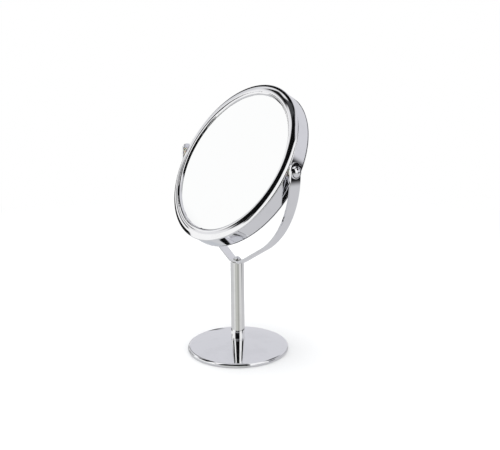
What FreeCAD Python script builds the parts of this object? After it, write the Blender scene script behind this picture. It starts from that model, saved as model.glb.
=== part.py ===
import FreeCAD, Part
import math
import os
import re
import Sketcher

# Tabletop mirror: a domed disc base, a tubular stem, a U-shaped yoke and a
# double-sided round mirror head that turns in the yoke's ears.
# Frame: origin at the centre of the base's underside, +Z up, +X along the
# tilt axis, mirror facing -Y and leaning back by head_tilt at rest.

os.makedirs("parts", exist_ok=True)
doc = FreeCAD.newDocument("tabletop_mirror")

# ---------------------------------------------------------------- dimensions
DIMENSIONS = [
    # clearances
    ("slip_gap", 0.05),
    ("skirt_gap", 0.1),
    ("press_gap", 0.02),
    # base
    ("base_radius", 55.0),
    ("rim_round", 2.6),
    ("rim_foot", 0.4),
    ("rim_top", 4.6),
    ("dome_top", 11.4),
    ("dome_radius", 240.0),
    ("shell_wall", 1.0),
    ("shell_hole_gap", 0.3),
    ("pad_radius", 53.0),
    ("pad_height", 1.0),
    ("plate_height", 0.8),
    ("weight_radius", 50.0),
    ("weight_gap", 0.5),
    ("nut_recess_radius", 8.0),
    ("nut_recess_top", 6.4),
    ("nut_flats", 10.0),
    ("nut_height", 2.8),
    ("base_washer_radius", 7.0),
    ("base_washer_height", 1.0),
    # stem
    ("stem_radius", 7.3),
    ("stem_wall", 1.0),
    ("stem_top", 98.5),
    ("foot_ring_height", 1.2),
    ("foot_ring_curve", 0.65),
    ("plug_length", 16.0),
    ("rod_radius", 2.95),
    ("rod_end", 0.5),
    ("rod_top", 88.0),
    # yoke
    ("yoke_radius", 93.6),
    ("yoke_wall", 2.2),
    ("yoke_drop_angle", 60.0),
    ("yoke_centre", 204.3),
    ("seat_half", 8.5),
    ("ear_width", 12.0),
    ("foot_width", 9.0),
    ("ear_rise", 4.0),
    ("pivot_height", 206.9),
    # yoke screw
    ("yoke_screw_radius", 2.45),
    ("yoke_screw_length", 11.0),
    ("yoke_screw_head", 3.6),
    ("yoke_screw_head_height", 1.9),
    ("yoke_screw_gap", 0.2),
    ("cross_length", 4.4),
    ("cross_width", 0.9),
    ("lock_washer_radius", 4.1),
    ("lock_washer_height", 0.8),
    # head
    ("head_tilt", 31.4),
    ("head_offset", 1.7),
    ("head_radius", 89.2),
    ("opening_radius", 76.8),
    ("pivot_depth", 14.0),
    ("rear_edge", 2.0),
    ("front_edge", 19.3),
    ("band_radius", 88.8),
    ("band_wall", 1.3),
    ("seam_gap", 0.5),
    ("edge_roll_width", 0.6),
    ("edge_roll_height", 1.1),
    ("edge_roll_curve", 1.28),
    ("crown_curve", 18.0),
    ("crown_radius", 80.5),
    ("lip_curve", 4.4),
    ("skirt_wall", 1.3),
    ("skirt_depth", 2.3),
    ("glass_radius", 79.3),
    ("glass_height", 2.0),
    ("glass_drop", 2.35),
    ("rear_glass_curve", 900.0),
    ("rear_glass_sag", 3.5),
    ("core_floor", 9.5),
    ("core_height", 2.5),
    ("lug_reach", 85.6),
    ("lug_width", 11.0),
    # pivots
    ("insert_radius", 2.8),
    ("insert_inner_end", 80.2),
    ("insert_flange_radius", 4.1),
    ("insert_flange_end", 91.4),
    ("friction_washer_radius", 5.2),
    ("friction_washer_height", 1.0),
    ("spring_washer_radius", 4.6),
    ("spring_washer_height", 0.7),
    ("bushing_radius", 3.3),
    ("screw_radius", 1.9),
    ("knob_flange_radius", 6.0),
    ("knob_flange_height", 1.3),
    ("knob_dome_radius", 4.6),
    ("knob_dome_height", 1.9),
]

dims = doc.addObject("Spreadsheet::Sheet", "dims")
for row, (word, number) in enumerate(DIMENSIONS, start=1):
    dims.set("A%d" % row, word)
    dims.set("B%d" % row, "%g" % number)
    dims.setAlias("B%d" % row, word)
doc.recompute()

V = FreeCAD.Vector
ALIASES = {word for word, _ in DIMENSIONS}
pieces = {}


def linked(expression):
    """Expression with every sheet alias written as a cell of the sheet."""
    return re.sub(
        r"[a-z_]+",
        lambda found: "dims." + found.group() if found.group() in ALIASES else found.group(),
        expression,
    )


def size(expression):
    """Number that an expression of sheet aliases stands for."""
    value = dims.evalExpression(linked(expression))
    return float(getattr(value, "Value", value))


def place(x=0.0, y=0.0, z=0.0, axis=(0, 0, 1), angle=0.0):
    return FreeCAD.Placement(V(x, y, z), FreeCAD.Rotation(V(*axis), angle))


def keep(name, shape_object, placement=None):
    """Name a finished sub-part and put it in its place."""
    shape_object.Label = name
    if placement is not None:
        shape_object.Placement = placement
    pieces[name] = shape_object
    return shape_object


# ---------------------------------------------------------------- sketching
def sketch_on(body, role, name):
    """New sketch on one of a body's own origin planes."""
    plane = [item for item in body.Origin.OriginFeatures if item.Role == role][0]
    sketch = body.newObject("Sketcher::SketchObject", name)
    sketch.AttachmentSupport = [(plane, "")]
    sketch.MapMode = "FlatFace"
    return sketch


def pin_point(sketch, geometry, end, across, up):
    """Hold a vertex at two sheet expressions from the sketch origin."""
    for kind, expression in (("DistanceX", across), ("DistanceY", up)):
        value = size(expression)
        index = sketch.addConstraint(Sketcher.Constraint(kind, -1, 1, geometry, end, value))
        sketch.setExpression("Constraints[%d]" % index, linked(expression))


def outline(sketch, corners):
    """Closed outline through corners, each (across, up) or (across, up, radius, side).

    A corner with a radius starts an arc of that radius to the next corner; side is
    +1 when the arc bulges to the left of the way to the next corner, -1 to the right.
    """
    points = [V(size(corner[0]), size(corner[1]), 0) for corner in corners]
    for index, corner in enumerate(corners):
        start = points[index]
        stop = points[(index + 1) % len(points)]
        if len(corner) == 2:
            edge = sketch.addGeometry(Part.LineSegment(start, stop), False)
            ends = (1, 2)
        else:
            radius = size(corner[2])
            chord = stop - start
            rise = radius - math.sqrt(radius ** 2 - (chord.Length / 2) ** 2)
            left = V(-chord.y, chord.x, 0).normalize()
            middle = (start + stop) * 0.5 + left * (rise * corner[3])
            edge = sketch.addGeometry(Part.Arc(start, middle, stop), False)
            near = (sketch.getPoint(edge, 1) - start).Length
            far = (sketch.getPoint(edge, 2) - start).Length
            ends = (1, 2) if near < far else (2, 1)
            held = sketch.addConstraint(Sketcher.Constraint("Radius", edge, radius))
            sketch.setExpression("Constraints[%d]" % held, linked(corner[2]))
        if index:
            sketch.addConstraint(Sketcher.Constraint("Coincident", last[0], last[1], edge, ends[0]))
        else:
            first = (edge, ends[0])
        pin_point(sketch, edge, ends[0], corner[0], corner[1])
        last = (edge, ends[1])
    sketch.addConstraint(Sketcher.Constraint("Coincident", last[0], last[1], first[0], first[1]))


def turned(name, corners):
    """Body turned about its own Z axis from a half-section of (radius, height)."""
    body = doc.addObject("PartDesign::Body", name)
    sketch = sketch_on(body, "XZ_Plane", name + "_section")
    outline(sketch, corners)
    turn = body.newObject("PartDesign::Revolution", name + "_turn")
    turn.Profile = sketch
    turn.ReferenceAxis = (sketch, ["V_Axis"])
    turn.Angle = 360
    body.Tip = turn
    return body


def ring(name, inner, outer, low, high):
    """Turned ring or disc with a plain rectangular section."""
    return turned(name, [(inner, low), (outer, low), (outer, high), (inner, high)])


def padded(name, role, corners, length, midplane=False):
    """Body padded from a closed outline on one of its origin planes."""
    body = doc.addObject("PartDesign::Body", name)
    sketch = sketch_on(body, role, name + "_outline")
    outline(sketch, corners)
    pad = body.newObject("PartDesign::Pad", name + "_pad")
    pad.Profile = sketch
    pad.setExpression("Length", linked(length))
    pad.Midplane = midplane
    body.Tip = pad
    return body


def cylinder(name, radius, height, placement):
    """Part cylinder whose radius and height follow the sheet."""
    tool = doc.addObject("Part::Cylinder", name)
    tool.setExpression("Radius", linked(radius))
    tool.setExpression("Height", linked(height))
    tool.Placement = placement
    return tool


def cut(name, base, tool):
    result = doc.addObject("Part::Cut", name)
    result.Base = base
    result.Tool = tool
    return result


def group(name, members):
    """Several separate solids kept as one sub-part."""
    result = doc.addObject("Part::Compound", name)
    result.Links = members
    return result


# ---------------------------------------------------------------- base
def make_base():
    keep("base_pad", ring("base_pad", "0", "pad_radius", "0", "pad_height"))
    plate_top = "pad_height + plate_height"
    keep("base_plate", ring("base_plate", "0", "pad_radius", "pad_height", plate_top))
    shell = turned("base_shell", [
        ("rod_radius + shell_hole_gap", "dome_top"),
        ("rod_radius + shell_hole_gap", "dome_top - shell_wall"),
        ("stem_radius", "dome_top - shell_wall", "dome_radius", 1),
        ("base_radius - rim_round", "rim_top - shell_wall"),
        ("base_radius - shell_wall", "rim_top - rim_round"),
        ("base_radius - shell_wall", "rim_foot"),
        ("base_radius", "rim_foot"),
        ("base_radius", "rim_top - rim_round", "rim_round", -1),
        ("base_radius - rim_round", "rim_top", "dome_radius", -1),
        ("stem_radius", "dome_top"),
    ])
    keep("base_shell", shell)
    weight = turned("base_weight", [
        ("rod_radius + slip_gap", "nut_recess_top"),
        ("nut_recess_radius", "nut_recess_top"),
        ("nut_recess_radius", "pad_height + plate_height"),
        ("weight_radius", "pad_height + plate_height"),
        ("weight_radius", "rim_top - shell_wall", "dome_radius", -1),
        ("stem_radius", "dome_top - shell_wall - weight_gap"),
        ("rod_radius + slip_gap", "dome_top - shell_wall - weight_gap"),
    ])
    keep("base_weight", weight)
    washer_low = "nut_recess_top - base_washer_height"
    hole = "rod_radius + slip_gap"
    keep("base_washer", ring("base_washer", hole, "base_washer_radius", washer_low, "nut_recess_top"))
    keep("base_nut", hex_nut())


def hex_nut():
    """Six-sided nut under the washer, gripping the tie rod."""
    prism = doc.addObject("Part::Prism", "base_nut_prism")
    prism.Polygon = 6
    prism.setExpression("Circumradius", linked("nut_flats / 2 / cos(30)"))
    prism.setExpression("Height", linked("nut_height"))
    nut_low = size("nut_recess_top - base_washer_height - nut_height")
    prism.Placement = place(z=nut_low)
    bore = cylinder("base_nut_bore", "rod_radius + slip_gap", "nut_height * 3", place())
    return cut("base_nut_cut", prism, bore)


# ---------------------------------------------------------------- stem
def make_stem():
    bore = "stem_radius - stem_wall"
    fit = "stem_radius - stem_wall - slip_gap"
    hole = "rod_radius + slip_gap"
    tube_low = "dome_top + foot_ring_height"
    foot_ring = turned("foot_ring", [
        (bore, "dome_top"),
        ("stem_radius", "dome_top", "foot_ring_curve", -1),
        ("stem_radius", tube_low),
        (bore, tube_low),
    ])
    keep("foot_ring", foot_ring)
    keep("stem_tube", ring("stem_tube", bore, "stem_radius", tube_low, "stem_top"))
    keep("stem_lower_plug", ring("stem_lower_plug", hole, fit, "dome_top", "dome_top + plug_length"))
    upper = turned("stem_upper_plug", [
        (hole, "stem_top - plug_length * 1.2"),
        (fit, "stem_top - plug_length * 1.2"),
        (fit, "stem_top"),
        ("yoke_screw_radius + slip_gap", "stem_top"),
        ("yoke_screw_radius + slip_gap", "rod_top + slip_gap"),
        (hole, "rod_top + slip_gap"),
    ])
    keep("stem_upper_plug", upper)
    rod_low = "nut_recess_top - base_washer_height - nut_height - rod_end"
    keep("tie_rod", ring("tie_rod", "0", "rod_radius", rod_low, "rod_top"))


# ---------------------------------------------------------------- yoke
def arm_corner(radius, side):
    """End of the round arm on one side, where the straight foot begins."""
    across = "%s * (%s) * cos(yoke_drop_angle)" % (side, radius)
    up = "yoke_centre - (%s) * sin(yoke_drop_angle)" % radius
    return across, up


def make_yoke():
    inner = "yoke_radius"
    outer = "yoke_radius + yoke_wall"
    ear_top = "pivot_height + ear_rise + ear_width"
    slope = "cos(yoke_drop_angle) / sin(yoke_drop_angle)"

    def seat(radius, side):
        """Where the straight foot meets the flat seat over the stem."""
        reach = "(%s) * cos(yoke_drop_angle) - seat_half" % radius
        up = "yoke_centre - (%s) * sin(yoke_drop_angle) - (%s) * %s" % (radius, reach, slope)
        return "%s * seat_half" % side, up

    profile = padded("yoke_side_profile", "XZ_Plane", [
        ("-(%s)" % outer, ear_top),
        ("-(%s)" % outer, "yoke_centre", outer, -1),
        arm_corner(outer, "-1"),
        seat(outer, "-1"),
        seat(outer, "1"),
        (*arm_corner(outer, "1"), outer, -1),
        (outer, "yoke_centre"),
        (outer, ear_top),
        (inner, ear_top),
        (inner, "yoke_centre", inner, 1),
        arm_corner(inner, "1"),
        seat(inner, "1"),
        seat(inner, "-1"),
        (*arm_corner(inner, "-1"), inner, 1),
        ("-(%s)" % inner, "yoke_centre"),
        ("-(%s)" % inner, ear_top),
    ], "ear_width * 2", midplane=True)
    ear_round = "ear_width / 2 + slip_gap / 50"
    front = padded("yoke_front_profile", "YZ_Plane", [
        ("-foot_width / 2", "stem_top - 1"),
        ("foot_width / 2", "stem_top - 1"),
        ("ear_width / 2", "yoke_centre - ear_width"),
        ("ear_width / 2", "pivot_height + ear_rise", ear_round, -1),
        ("-ear_width / 2", "pivot_height + ear_rise"),
        ("-ear_width / 2", "yoke_centre - ear_width"),
    ], "yoke_radius * 3", midplane=True)
    strip = doc.addObject("Part::MultiCommon", "yoke_strip")
    strip.Shapes = [profile, front]
    across = place(x=-size("yoke_radius * 1.5"), z=size("pivot_height"), axis=(0, 1, 0), angle=90)
    ears = cylinder("yoke_ear_holes", "bushing_radius", "yoke_radius * 3", across)
    seat_hole = cylinder("yoke_seat_hole", "yoke_screw_radius + yoke_screw_gap", "stem_radius * 2",
                         place(z=size("stem_top - stem_radius")))
    drilled = cut("yoke_drilled", strip, ears)
    keep("yoke", cut("yoke_cut", drilled, seat_hole))


def seat_height():
    """Height of the top face of the yoke's flat seat."""
    reach = size("yoke_radius * cos(yoke_drop_angle) - seat_half")
    slope = 1.0 / math.tan(math.radians(size("yoke_drop_angle")))
    drop = size("yoke_radius * sin(yoke_drop_angle)") + reach * slope
    return size("yoke_centre") - drop


def make_yoke_screw():
    low = seat_height()
    lock_hole = "yoke_screw_radius + yoke_screw_gap"
    washer = ring("lock_washer", lock_hole, "lock_washer_radius", "0", "lock_washer_height")
    keep("lock_washer", washer, place(z=low))
    screw = turned("yoke_screw_turned", [
        ("0", "0"),
        ("yoke_screw_radius", "0"),
        ("yoke_screw_radius", "yoke_screw_length"),
        ("yoke_screw_head", "yoke_screw_length"),
        ("yoke_screw_head", "yoke_screw_length + yoke_screw_head_height * 0.5"),
        ("yoke_screw_head * 0.7", "yoke_screw_length + yoke_screw_head_height"),
        ("0", "yoke_screw_length + yoke_screw_head_height"),
    ])
    cross_depth = size("yoke_screw_length + yoke_screw_head_height * 0.4")
    blades = []
    for number in range(2):
        blade = doc.addObject("Part::Box", "cross_blade_%d" % number)
        blade.setExpression("Length", linked("cross_length"))
        blade.setExpression("Width", linked("cross_width"))
        blade.setExpression("Height", linked("yoke_screw_head_height"))
        turn = FreeCAD.Rotation(V(0, 0, 1), 45 + 90 * number)
        corner = turn.multVec(V(-size("cross_length / 2"), -size("cross_width / 2"), 0))
        blade.Placement = FreeCAD.Placement(corner + V(0, 0, cross_depth), turn)
        blades.append(blade)
    cross = doc.addObject("Part::MultiFuse", "cross_recess")
    cross.Shapes = blades
    seat = low + size("lock_washer_height") - size("yoke_screw_length")
    keep("yoke_screw", cut("yoke_screw_cut", screw, cross), place(z=seat))


# ---------------------------------------------------------------- head
def head_place():
    """Head frame: own Z along the mirror's outward normal, tilted back at the pivot."""
    turn = FreeCAD.Rotation(V(1, 0, 0), 90 - size("head_tilt"))
    offset = turn.multVec(V(0, -size("head_offset"), -size("pivot_depth")))
    return FreeCAD.Placement(V(0, 0, size("pivot_height")) + offset, turn)


def cross_holes(name, radius):
    """Cylinder along the tilt axis in head coordinates."""
    reach = size("head_radius * 1.2")
    spot = place(x=-reach, y=size("head_offset"), z=size("pivot_depth"), axis=(0, 1, 0), angle=90)
    return cylinder(name, radius, "head_radius * 2.4", spot)


def arc_rise(curve, reach):
    """Height that an arc gains over reach, counted from its level top."""
    return "(%s - sqrt(%s ^ 2 - (%s) ^ 2))" % (curve, curve, reach)


CROWN_RISE = arc_rise("crown_curve", "head_radius - edge_roll_width - crown_radius")
LIP_FALL = arc_rise("lip_curve", "crown_radius - opening_radius")


def bezel(name, edge, way):
    """Ring round one mirror: rolled edge, broad crown, lip, and a skirt inside the band.

    edge is the height of the ring's shoulder and way is +1 for the front, -1 for the rear.
    """
    def level(depth):
        """Height of a point that lies depth below the shoulder."""
        return "%s - (%s) * (%d)" % (edge, depth, way)

    glass_face = "glass_drop - %s - slip_gap" % CROWN_RISE
    skirt_outer = "band_radius - band_wall - skirt_gap"
    return turned(name, [
        ("opening_radius", level(glass_face)),
        (skirt_outer + " - skirt_wall", level(glass_face)),
        (skirt_outer + " - skirt_wall", level("skirt_depth")),
        (skirt_outer, level("skirt_depth")),
        (skirt_outer, level("edge_roll_height")),
        ("head_radius", level("edge_roll_height"), "edge_roll_curve", -way),
        ("head_radius - edge_roll_width", level("0"), "crown_curve", -way),
        ("crown_radius", level("-" + CROWN_RISE), "lip_curve", -way),
        ("opening_radius", level("%s - %s" % (LIP_FALL, CROWN_RISE))),
    ])


def make_head():
    at = head_place()
    keep("front_bezel", bezel("front_bezel", "front_edge", 1), at)
    keep("rear_bezel", bezel("rear_bezel", "rear_edge", -1), at)
    band_front = "front_edge - edge_roll_height - seam_gap"
    band_rear = "rear_edge + edge_roll_height + seam_gap"
    band = ring("drum_band_ring", "band_radius - band_wall", "band_radius", band_rear, band_front)
    keep("drum_band", cut("drum_band_cut", band, cross_holes("band_holes", "insert_radius + press_gap")), at)
    make_core(at)
    glass_top = "front_edge + %s - glass_drop" % CROWN_RISE
    glass_low = glass_top + " - glass_height"
    keep("front_glass", ring("front_glass", "0", "glass_radius", glass_low, glass_top), at)
    pad_low = "core_floor + core_height"
    keep("front_glass_pad", ring("front_glass_pad", "0", "glass_radius - 0.5", pad_low, glass_low), at)
    rear_face = "rear_edge - %s + glass_drop" % CROWN_RISE
    rear_glass = turned("rear_glass", [
        ("0", rear_face + " + rear_glass_sag", "rear_glass_curve", -1),
        ("glass_radius", rear_face),
        ("glass_radius", rear_face + " + glass_height"),
        ("0", rear_face + " + glass_height + rear_glass_sag"),
    ])
    keep("rear_glass", rear_glass, at)
    gasket_low = rear_face + " + glass_height + skirt_gap * 4"
    gasket = ring("rear_glass_gasket", "glass_radius - 3", "glass_radius", gasket_low, "core_floor")
    keep("rear_glass_gasket", gasket, at)


def make_core(at):
    """Moulded plate between the two mirrors, with a lug for each pivot insert."""
    edge = "band_radius - band_wall - skirt_gap"
    disc = ring("core_disc", "0", edge, "core_floor", "core_floor + core_height")
    lugs = [disc]
    lug_reach = size("lug_reach")
    lug_inner = size("insert_inner_end - rod_end")
    for name, side in (("left", -1), ("right", 1)):
        lug = doc.addObject("Part::Box", "core_lug_" + name)
        lug.Length = lug_reach - lug_inner
        lug.Width = size("lug_width")
        lug.Height = size("front_edge - seam_gap - core_floor")
        low_x = lug_inner if side > 0 else -lug_reach
        lug.Placement = place(x=low_x, y=size("head_offset - lug_width / 2"), z=size("core_floor"))
        lugs.append(lug)
    solid = doc.addObject("Part::MultiFuse", "core_with_lugs")
    solid.Shapes = lugs
    holes = cross_holes("core_holes", "insert_radius + press_gap")
    keep("drum_core", cut("drum_core_cut", solid, holes), at)


# ---------------------------------------------------------------- pivots
def pivot_place(side):
    """Own Z pointing out along the tilt axis, to the right (+1) or left (-1)."""
    return place(z=size("pivot_height"), axis=(0, 1, 0), angle=90 * side)


def pair(name, make):
    """The same small piece on both sides, as one sub-part of two solids."""
    members = []
    for label, side in (("left", -1), ("right", 1)):
        member = make("%s_%s" % (name, label))
        member.Placement = pivot_place(side)
        members.append(member)
    keep(name, group(name + "_pair", members))


def make_pivots():
    hole = "screw_radius + slip_gap"
    pair("pivot_insert", lambda name: turned(name, [
        (hole, "insert_inner_end"),
        ("insert_radius", "insert_inner_end"),
        ("insert_radius", "band_radius + skirt_gap"),
        ("insert_flange_radius", "band_radius + skirt_gap"),
        ("insert_flange_radius", "insert_flange_end"),
        (hole, "insert_flange_end"),
    ]))
    friction_end = "insert_flange_end + friction_washer_height"
    pair("friction_washer", lambda name: ring(
        name, hole, "friction_washer_radius", "insert_flange_end", friction_end))
    spring_end = friction_end + " + spring_washer_height"
    pair("spring_washer", lambda name: ring(
        name, hole, "spring_washer_radius", friction_end, spring_end))
    pair("ear_bushing", lambda name: ring(
        name, hole, "bushing_radius - press_gap", "yoke_radius", "yoke_radius + yoke_wall"))
    face = "yoke_radius + yoke_wall + slip_gap"
    dome_curve = "(knob_dome_radius ^ 2 + knob_dome_height ^ 2) / 2 / knob_dome_height"
    for label, side in (("left", -1), ("right", 1)):
        knob = turned("pivot_knob_" + label, [
            ("0", "insert_inner_end + rod_end"),
            ("screw_radius", "insert_inner_end + rod_end"),
            ("screw_radius", face),
            ("knob_flange_radius", face),
            ("knob_flange_radius", face + " + knob_flange_height * 0.6"),
            ("knob_flange_radius - knob_flange_height / 2", face + " + knob_flange_height"),
            ("knob_dome_radius", face + " + knob_flange_height", dome_curve, -1),
            ("0", face + " + knob_flange_height + knob_dome_height"),
        ])
        keep("pivot_knob_" + label, knob, pivot_place(side))


# ---------------------------------------------------------------- build and write
make_base()
make_stem()
make_yoke()
make_yoke_screw()
make_head()
make_pivots()
doc.recompute()

faults = [item.Label for item in doc.Objects if {"Invalid", "Error"} & set(item.State)]
for name, piece in pieces.items():
    if piece.Shape.isNull() or not piece.Shape.isValid() or not piece.Shape.Solids:
        faults.append(name)
if faults:
    raise RuntimeError("failed objects: " + ", ".join(faults))

for name, piece in pieces.items():
    piece.Shape.exportStep(os.path.join("parts", name + ".step"))
    print("%-20s solids %d  volume %.1f mm3" % (name, len(piece.Shape.Solids), piece.Shape.Volume))
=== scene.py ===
from collections import namedtuple
import math

import bpy
from mathutils import Matrix, Vector

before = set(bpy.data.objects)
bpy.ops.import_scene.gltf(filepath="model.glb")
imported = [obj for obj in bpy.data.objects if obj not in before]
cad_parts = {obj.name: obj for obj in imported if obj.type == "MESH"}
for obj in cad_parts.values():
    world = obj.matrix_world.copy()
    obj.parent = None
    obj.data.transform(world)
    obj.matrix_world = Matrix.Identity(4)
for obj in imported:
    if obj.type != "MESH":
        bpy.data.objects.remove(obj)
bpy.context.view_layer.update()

# Tabletop mirror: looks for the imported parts, a plain floor, a studio and a camera.
# Lengths are in metres. The studio is described by azimuth and elevation in degrees:
# azimuth 0 points from the mirror to the camera, +90 to the camera's right.

MM = 0.001

# Camera: where it stands, how far it is turned from +Y, how far it looks down, its roll and lens
CAMERA_SPOT = Vector((0.6237, -0.45155, 0.31952))
VIEW_AZIMUTH = 53.05
VIEW_DROP = 13.21
VIEW_ROLL = -0.44
LENS = 53.655
SENSOR = 36.0

# Floor: a square this far each way, just under the mirror, white beyond the fade
FLOOR_REACH = 60.0
FLOOR_DROP = 0.2 * MM
FADE_FROM = 0.12
FADE_TO = 0.9

# Lamp: a wide soft disk overhead
LAMP_SPOT = (-0.1, -0.1, 1.8)
LAMP_SIZE = 1.6
LAMP_POWER = 22.0

# Light on dull surfaces from all round
FILL_COLOUR = (0.98, 0.99, 1, 1)
FILL_STRENGTH = 0.8

# How round the sharp edges of the stampings look
SHELL_EDGE_ROUND = 0.3 * MM

# Places of the colour sockets on a Mix node
FIRST_COLOUR = 6
SECOND_COLOUR = 7
BLENDED_COLOUR = 2


# ---------------------------------------------------------------- shader helpers
class Tree:
    """Adds shader nodes to one tree and joins them, a line for each step."""

    def __init__(self, tree):
        self.tree = tree
        tree.nodes.clear()

    def node(self, kind, inputs=None, **settings):
        made = self.tree.nodes.new("ShaderNode" + kind)
        for word, value in settings.items():
            setattr(made, word, value)
        for socket, value in (inputs or {}).items():
            self.feed(made.inputs[socket], value)
        return made

    def feed(self, socket, value):
        if isinstance(value, bpy.types.NodeSocket):
            self.tree.links.new(value, socket)
        else:
            socket.default_value = value

    def math(self, operation, first, second=0.0, third=0.0, clamp=False):
        made = self.node("Math", operation=operation, use_clamp=clamp)
        for socket, value in zip(made.inputs, (first, second, third)):
            self.feed(socket, value)
        return made.outputs[0]

    def span(self, value, low, high, to_low=0.0, to_high=1.0):
        """Smooth step from to_low to to_high while value goes from low to high."""
        made = self.node("MapRange", {
            "Value": value, "From Min": low, "From Max": high,
            "To Min": to_low, "To Max": to_high,
        }, interpolation_type="SMOOTHSTEP")
        return made.outputs["Result"]

    def blend(self, factor, first, second):
        """Colour between first and second."""
        made = self.node("Mix", data_type="RGBA")
        self.feed(made.inputs["Factor"], factor)
        self.feed(made.inputs[FIRST_COLOUR], first)
        self.feed(made.inputs[SECOND_COLOUR], second)
        return made.outputs[BLENDED_COLOUR]

    def noise(self, vector, scale, detail=3.0, rough=0.5):
        made = self.node("TexNoise", {
            "Vector": vector, "Scale": scale, "Detail": detail, "Roughness": rough,
        })
        return made.outputs["Fac"]

    def stretched(self, vector, scale):
        """Coordinates scaled by a different amount along each axis."""
        made = self.node("Mapping", {"Vector": vector, "Scale": scale})
        return made.outputs["Vector"]

    def bump(self, height, strength, distance, normal=None):
        inputs = {"Height": height, "Strength": strength, "Distance": distance}
        if normal is not None:
            inputs["Normal"] = normal
        return self.node("Bump", inputs).outputs["Normal"]


def grey(level):
    """Linear grey for a screen brightness from 0 to 255."""
    part = level / 255.0
    value = part / 12.92 if part < 0.04045 else ((part + 0.055) / 1.055) ** 2.4
    return (value, value, value, 1.0)


def tone(red, green, blue):
    """Linear colour for screen colours from 0 to 255."""
    return (grey(red)[0], grey(green)[0], grey(blue)[0], 1.0)


# ---------------------------------------------------------------- studio
# What the chrome reflects: a wall all round with panels on it. A panel reaches from one azimuth
# to another and from low to high. Its edges are soft by so many degrees for a box, by a share of
# its size for an oval. Later panels lie over earlier ones.
Panel = namedtuple("Panel", "name shape colour left right low high soft")
WALL = tone(216, 216, 221)
WHITE = tone(255, 255, 255)
BLACK = tone(14, 14, 15)
PANELS = [Panel(*row) for row in (
    ("table", "box", tone(203, 203, 206), -180, 180, -95, -9, 3),
    ("table_far_left", "box", tone(196, 199, 204), -180, -86, -95, -9, 6),
    ("table_near_left", "box", tone(226, 227, 226), -86, -40, -22, -9, 4),
    ("table_near", "box", tone(196, 197, 193), -38, 2, -24, -8, 4),
    ("table_near_middle", "box", tone(170, 171, 167), 0, 30, -24, -8, 4),
    ("table_near_right", "box", tone(217, 217, 218), 30, 68, -22, -9, 4),
    ("table_edge", "box", tone(60, 60, 62), -163, 150, -9, -2, 2),
    ("far_corner", "box", tone(15, 15, 16), -176, -164, -8, -1, 2),
    ("ceiling_front", "box", tone(200, 200, 202), -10, 50, 62, 84, 6),
    ("arch", "oval", BLACK, -161, -69, -20, 64, 0.03),
    ("arch_inside", "oval", tone(236, 236, 238), -151, -79, -11, 55, 0.04),
    ("arch_shade", "oval", tone(218, 219, 222), -150, -130, 4, 38, 0.2),
    ("arch_top", "box", tone(70, 71, 73), -124, -92, 43, 60, 3),
    ("arch_corner", "box", tone(25, 25, 26), -133, -117, 37, 46, 3),
    ("black_flag", "box", BLACK, -108, -73, 20.5, 58, 3),
    ("black_flag_foot", "box", tone(20, 20, 21), -97, -80, 16.5, 22, 2),
    ("low_card", "box", WHITE, -165, -44, -1, 14, 2),
    ("low_card_side", "box", WHITE, -113, -44, -11, 4, 2),
    ("bar_low", "box", tone(12, 12, 13), -165, -114, -7, 1.5, 2),
    ("bar_middle", "box", tone(70, 71, 73), -140, -114, 8.5, 13, 2),
    ("bar_high", "box", tone(45, 46, 48), -128, -113, 16.5, 20, 1.5),
    ("left_softbox", "box", WHITE, -72, -42, -4, 66, 3),
    ("left_softbox_edge", "box", tone(110, 110, 112), -52, -42, -1, 16, 4),
    ("camera_side", "box", BLACK, -42, 28, -1, 60, 3),
    ("right_softbox", "box", WHITE, 30, 70, -5, 62, 3),
    ("side_gap", "box", tone(24, 24, 26), 72, 89, -17, 4, 7),
    ("table_left", "box", tone(206, 207, 209), -165, -65, -95, -11.5, 1),
    ("table_shadow", "box", tone(120, 121, 122), -103.5, -99, -16, -12.5, 0.8),
    ("right_flag", "box", tone(25, 25, 26), 74, 118, 24, 50, 3),
    ("glass_card", "box", WHITE, -127, -107, 21, 34, 2),
)]


def oval_mask(tree, offset, elevation, panel):
    """1 inside an oval panel, with offset degrees from its middle."""
    wide = (panel.right - panel.left) / 2
    tall = (panel.high - panel.low) / 2
    across = tree.math("POWER", tree.math("ABSOLUTE", tree.math("DIVIDE", offset, wide)), 2.0)
    rise = tree.math("SUBTRACT", elevation, (panel.low + panel.high) / 2)
    up = tree.math("POWER", tree.math("ABSOLUTE", tree.math("DIVIDE", rise, tall)), 2.0)
    reach = tree.math("SQRT", tree.math("ADD", across, up))
    return tree.span(reach, 1 - panel.soft, 1 + panel.soft, 1.0, 0.0)


def box_mask(tree, offset, elevation, panel):
    """1 inside a box panel, with offset degrees from its middle."""
    wide = (panel.right - panel.left) / 2
    edge = panel.soft / 2
    above = tree.span(elevation, panel.low - edge, panel.low + edge)
    below = tree.span(elevation, panel.high - edge, panel.high + edge, 1.0, 0.0)
    mask = tree.math("MULTIPLY", above, below)
    if wide == 180:
        return mask
    side = tree.span(tree.math("ABSOLUTE", offset), wide - edge, wide + edge, 1.0, 0.0)
    return tree.math("MULTIPLY", mask, side)


def panel_mask(tree, azimuth, elevation, panel):
    """1 inside one panel of the studio, falling softly to 0 round its edges."""
    middle = (panel.left + panel.right) / 2
    offset = tree.math("WRAP", tree.math("SUBTRACT", azimuth, middle), 180.0, -180.0)
    mask = oval_mask if panel.shape == "oval" else box_mask
    return mask(tree, offset, elevation, panel)


def share_along(tree, direction, axis):
    """Part of the direction that lies along an axis."""
    made = tree.node("VectorMath", operation="DOT_PRODUCT")
    tree.feed(made.inputs[0], direction)
    made.inputs[1].default_value = axis
    return made.outputs["Value"]


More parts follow.
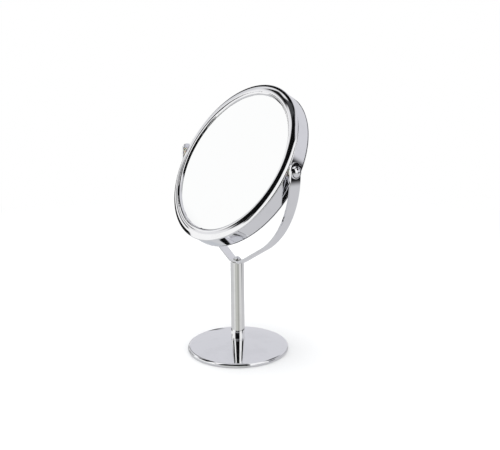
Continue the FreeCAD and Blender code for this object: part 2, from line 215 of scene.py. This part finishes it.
def make_studio():
    """World that reflections see as the studio, the camera as plain white, dull surfaces as fill."""
    world = bpy.data.worlds.new("studio")
    world.use_nodes = True
    tree = Tree(world.node_tree)
    direction = tree.node("TexCoord").outputs["Generated"]
    turn = math.radians(VIEW_AZIMUTH)
    to_camera = (math.sin(turn), -math.cos(turn), 0.0)
    to_right = (math.cos(turn), math.sin(turn), 0.0)
    ahead = share_along(tree, direction, to_camera)
    aside = share_along(tree, direction, to_right)
    azimuth = tree.math("MULTIPLY", tree.math("ARCTAN2", aside, ahead), math.degrees(1))
    rise = tree.node("SeparateXYZ", {"Vector": direction}).outputs["Z"]
    elevation = tree.math("MULTIPLY", tree.math("ARCSINE", rise), math.degrees(1))

    colour = WALL
    for panel in PANELS:
        colour = tree.blend(panel_mask(tree, azimuth, elevation, panel), colour, panel.colour)
    seen = tree.node("Background", {"Color": colour, "Strength": 1.0}).outputs[0]
    plain = tree.node("Background", {"Color": (1, 1, 1, 1), "Strength": 1.0}).outputs[0]
    fill = tree.node("Background", {"Color": FILL_COLOUR, "Strength": FILL_STRENGTH}).outputs[0]
    ray = tree.node("LightPath")
    soft = tree.node("MixShader", {0: ray.outputs["Is Glossy Ray"], 1: fill, 2: seen}).outputs[0]
    final = tree.node("MixShader", {0: ray.outputs["Is Camera Ray"], 1: soft, 2: plain}).outputs[0]
    tree.node("OutputWorld", {"Surface": final})
    bpy.context.scene.world = world


# ---------------------------------------------------------------- materials
def new_material(name):
    """A material, its node tree and the coordinates of the piece that wears it."""
    made = bpy.data.materials.new(name)
    made.use_nodes = True
    tree = Tree(made.node_tree)
    return made, tree, tree.node("TexCoord").outputs["Object"]


def surface(tree, inputs):
    """Ends a material's tree with one surface shader."""
    shader = tree.node("BsdfPrincipled", inputs)
    tree.node("OutputMaterial", {"Surface": shader.outputs[0]})


def worn_edge(tree, low, high):
    """1 on sharp outer edges, 0 on flats and hollows."""
    pointed = tree.node("NewGeometry").outputs["Pointiness"]
    return tree.span(pointed, low, high)


def hairlines(tree, spot):
    """1 along two families of fine scratches that cross each other."""
    along = tree.noise(tree.stretched(spot, (40, 900, 900)), 1.0, 2.0)
    across = tree.noise(tree.stretched(spot, (700, 60, 1100)), 1.0, 2.0)
    return tree.math("MAXIMUM", tree.span(along, 0.70, 0.76), tree.span(across, 0.71, 0.77))


def tiny_pits(tree, spot):
    """1 in tiny scattered pits."""
    nearest = tree.node("TexVoronoi", {"Vector": spot, "Scale": 260.0}).outputs["Distance"]
    return tree.span(nearest, 0.03, 0.09, 1.0, 0.0)


def chrome(name, colour, haze_scale=60.0, drawn=None, round_edge=0.0):
    """Polished plating: faint haze, hairline scratches and a few tiny pits.

    drawn stretches the lines that drawing or turning left in the metal, and round_edge is the
    radius that sharp edges seem to have.
    """
    made, tree, spot = new_material(name)
    haze = tree.noise(spot, haze_scale, 4.0, 0.55)
    smear = tree.span(haze, 0.46, 0.68)
    hair = hairlines(tree, spot)
    pit = tiny_pits(tree, spot)
    tint = tuple(part * 0.965 for part in colour[:3]) + (1.0,)
    shade = tree.blend(smear, colour, tint)
    shade = tree.blend(tree.math("MULTIPLY", pit, 0.25), shade, grey(120))
    polish = tree.math("MULTIPLY_ADD", smear, 0.025, 0.035)
    polish = tree.math("MULTIPLY_ADD", hair, 0.05, polish)
    if drawn is not None:
        lines = tree.noise(tree.stretched(spot, drawn), 1.0, 2.0)
        polish = tree.math("MULTIPLY_ADD", tree.span(lines, 0.45, 0.7), 0.02, polish)
    base = None
    if round_edge:
        base = tree.node("Bevel", {"Radius": round_edge}, samples=6).outputs["Normal"]
    height = tree.math("SUBTRACT", tree.math("MULTIPLY", haze, 0.3), tree.math("MULTIPLY", hair, 0.08))
    height = tree.math("SUBTRACT", height, tree.math("MULTIPLY", pit, 0.2))
    ripple = tree.bump(height, 0.10, 0.00002, base)
    surface(tree, {
        "Base Color": shade, "Metallic": 1.0, "Roughness": polish, "Normal": ripple,
    })
    return made


def mirror(name, colour):
    """Silvered glass: a clear face over silver, with a trace of dust and wiping marks."""
    made, tree, spot = new_material(name)
    wipe = tree.noise(tree.stretched(spot, (18, 60, 60)), 1.0, 3.0)
    dust = tree.noise(spot, 1400.0, 1.0)
    speck = tree.span(dust, 0.74, 0.80)
    shade = tree.blend(tree.math("MULTIPLY", speck, 0.15), colour, grey(225))
    polish = tree.math("MULTIPLY_ADD", tree.span(wipe, 0.45, 0.75), 0.02, 0.008)
    ripple = tree.bump(wipe, 0.02, 0.00001)
    surface(tree, {
        "Base Color": shade, "Metallic": 1.0, "Roughness": polish, "Normal": ripple,
        "Coat Weight": 0.4, "Coat Roughness": 0.01, "Coat IOR": 1.5,
    })
    return made


def cast_iron(name):
    """Raw grey casting: coarse grain, darker hollows, a little rust in scattered patches."""
    made, tree, spot = new_material(name)
    grain = tree.noise(spot, 900.0, 6.0, 0.65)
    patch = tree.noise(spot, 55.0, 4.0)
    shade = tree.blend(tree.span(grain, 0.3, 0.7), grey(52), grey(92))
    shade = tree.blend(tree.span(patch, 0.58, 0.72, 0.0, 0.5), shade, tone(96, 62, 42))
    polish = tree.math("MULTIPLY_ADD", grain, 0.3, 0.45)
    surface(tree, {
        "Base Color": shade, "Metallic": 0.6, "Roughness": polish,
        "Normal": tree.bump(grain, 0.6, 0.0004),
    })
    return made


def zinc(name):
    """Zinc plate: faint crystal patches, brushed lines, slightly yellow passivation."""
    made, tree, spot = new_material(name)
    crystal = tree.node("TexVoronoi", {"Vector": spot, "Scale": 420.0}).outputs["Distance"]
    lines = tree.noise(tree.stretched(spot, (120, 120, 2600)), 1.0, 2.0)
    shade = tree.blend(tree.noise(spot, 90.0), tone(186, 187, 184), tone(206, 205, 196))
    shade = tree.blend(tree.span(crystal, 0.2, 0.8, 0.0, 0.3), shade, grey(165))
    polish = tree.math("MULTIPLY_ADD", lines, 0.18, 0.22)
    surface(tree, {
        "Base Color": shade, "Metallic": 1.0, "Roughness": polish,
        "Normal": tree.bump(lines, 0.15, 0.00005),
    })
    return made


def brass(name):
    """Nickel-washed brass: fine tool rings and dull patches where the brass shows."""
    made, tree, spot = new_material(name)
    rings = tree.noise(tree.stretched(spot, (3200, 60, 60)), 1.0, 2.0)
    patch = tree.noise(spot, 160.0, 3.0)
    shade = tree.blend(tree.span(patch, 0.4, 0.7), tone(168, 168, 166), tone(142, 140, 134))
    polish = tree.math("MULTIPLY_ADD", patch, 0.2, 0.18)
    surface(tree, {
        "Base Color": shade, "Metallic": 1.0, "Roughness": polish,
        "Normal": tree.bump(rings, 0.2, 0.00004),
    })
    return made


def black_plastic(name):
    """Moulded plastic: fine texture with paler rubbed edges."""
    made, tree, spot = new_material(name)
    grain = tree.noise(spot, 2200.0, 3.0)
    rub = worn_edge(tree, 0.52, 0.60)
    shade = tree.blend(tree.math("MULTIPLY", rub, 0.5), grey(38), grey(84))
    polish = tree.math("MULTIPLY_ADD", grain, 0.2, 0.42)
    surface(tree, {
        "Base Color": shade, "Roughness": polish, "IOR": 1.5,
        "Normal": tree.bump(grain, 0.25, 0.00006),
    })
    return made


def nylon(name):
    """Natural nylon: milky, slightly uneven."""
    made, tree, spot = new_material(name)
    cloud = tree.noise(spot, 380.0, 3.0)
    shade = tree.blend(cloud, tone(226, 222, 206), tone(238, 235, 226))
    surface(tree, {
        "Base Color": shade, "Roughness": tree.math("MULTIPLY_ADD", cloud, 0.2, 0.3),
        "Subsurface Weight": 0.2, "Subsurface Scale": 0.001, "IOR": 1.53,
        "Normal": tree.bump(cloud, 0.1, 0.00005),
    })
    return made


def foam(name):
    """Closed-cell foam: open pores all over a dark matt sheet."""
    made, tree, spot = new_material(name)
    cells = tree.node("TexVoronoi", {"Vector": spot, "Scale": 1500.0}).outputs["Distance"]
    pores = tree.span(cells, 0.1, 0.45)
    patch = tree.noise(spot, 70.0, 3.0)
    shade = tree.blend(pores, grey(22), grey(48))
    shade = tree.blend(tree.span(patch, 0.5, 0.8, 0.0, 0.4), shade, grey(66))
    surface(tree, {
        "Base Color": shade, "Roughness": tree.math("MULTIPLY_ADD", cells, 0.1, 0.82),
        "Normal": tree.bump(pores, 0.5, 0.0001),
    })
    return made


def make_materials():
    """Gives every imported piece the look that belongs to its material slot."""
    plate = (0.905, 0.908, 0.925, 1.0)
    finishes = {
        "chrome_shell": chrome("chrome_shell_look", plate, 45.0, round_edge=SHELL_EDGE_ROUND),
        "chrome_tube": chrome("chrome_tube_look", (0.91, 0.91, 0.905, 1.0), 70.0, drawn=(2600, 2600, 12)),
        "chrome_bezel": chrome("chrome_bezel_look", (0.91, 0.91, 0.92, 1.0), 80.0),
        "chrome_hardware": chrome("chrome_hardware_look", plate, 150.0, drawn=(2000, 90, 90)),
        "mirror_glass": mirror("mirror_glass_look", (0.975, 0.98, 0.98, 1.0)),
        "magnifying_glass": mirror("magnifying_glass_look", (0.95, 0.97, 0.965, 1.0)),
        "iron_weight": cast_iron("iron_weight_look"),
        "zinc_steel": zinc("zinc_steel_look"),
        "brass_insert": brass("brass_insert_look"),
        "black_plastic": black_plastic("black_plastic_look"),
        "clear_nylon": nylon("clear_nylon_look"),
        "foam_pad": foam("foam_pad_look"),
    }
    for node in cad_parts.values():
        slot = node.data.materials[0].name.split(".")[0]
        node.data.materials[0] = finishes[slot]


# ---------------------------------------------------------------- floor, light and camera
def make_floor():
    """Wide pale floor that fades into the white background away from the mirror."""
    far = FLOOR_REACH
    mesh = bpy.data.meshes.new("floor")
    corners = [(-far, -far, 0), (far, -far, 0), (far, far, 0), (-far, far, 0)]
    mesh.from_pydata(corners, [], [(0, 1, 2, 3)])
    floor = bpy.data.objects.new("floor", mesh)
    floor.location.z = -FLOOR_DROP
    bpy.context.scene.collection.objects.link(floor)
    made, tree, spot = new_material("floor_look")
    cloud = tree.noise(spot, 3.0, 4.0)
    shade = tree.blend(cloud, (0.93, 0.93, 0.93, 1), (0.95, 0.95, 0.95, 1))
    paper = tree.node("BsdfPrincipled", {
        "Base Color": shade, "Roughness": tree.math("MULTIPLY_ADD", cloud, 0.1, 0.75),
        "Specular IOR Level": 0.1,
        "Normal": tree.bump(tree.noise(spot, 400.0), 0.05, 0.0001),
    }).outputs[0]
    glow = tree.node("Emission", {"Color": (1, 1, 1, 1), "Strength": 1.0}).outputs[0]
    away = tree.node("VectorMath", {0: spot}, operation="LENGTH").outputs["Value"]
    faded = tree.span(away, FADE_FROM, FADE_TO)
    mixed = tree.node("MixShader", {0: faded, 1: paper, 2: glow}).outputs[0]
    tree.node("OutputMaterial", {"Surface": mixed})
    mesh.materials.append(made)
    floor.visible_glossy = False


def make_lamp():
    """Soft light from above that leaves a faint shadow round the base and no highlight."""
    lamp = bpy.data.lights.new("overhead", "AREA")
    lamp.shape = "DISK"
    lamp.size = LAMP_SIZE
    lamp.energy = LAMP_POWER
    holder = bpy.data.objects.new("overhead", lamp)
    holder.location = LAMP_SPOT
    holder.visible_glossy = False
    bpy.context.scene.collection.objects.link(holder)


def make_camera():
    """Camera in front of the mirror, to its right and a little above it."""
    turn = math.radians(VIEW_AZIMUTH)
    drop = math.radians(VIEW_DROP)
    roll = math.radians(VIEW_ROLL)
    ahead = Vector((-math.sin(turn) * math.cos(drop), math.cos(turn) * math.cos(drop), -math.sin(drop)))
    level_right = Vector((math.cos(turn), math.sin(turn), 0.0))
    level_up = level_right.cross(ahead)
    right = math.cos(roll) * level_right + math.sin(roll) * level_up
    up = right.cross(ahead)
    lens = bpy.data.cameras.new("camera")
    lens.lens = LENS
    lens.sensor_width = SENSOR
    lens.clip_start = 0.01
    camera = bpy.data.objects.new("camera", lens)
    axes = Matrix((right, up, -ahead)).transposed().to_4x4()
    camera.matrix_world = Matrix.Translation(CAMERA_SPOT) @ axes
    bpy.context.scene.collection.objects.link(camera)
    bpy.context.scene.camera = camera


def make_scene():
    make_materials()
    make_studio()
    make_floor()
    make_lamp()
    make_camera()
    bpy.context.scene.view_settings.view_transform = "Standard"


make_scene()
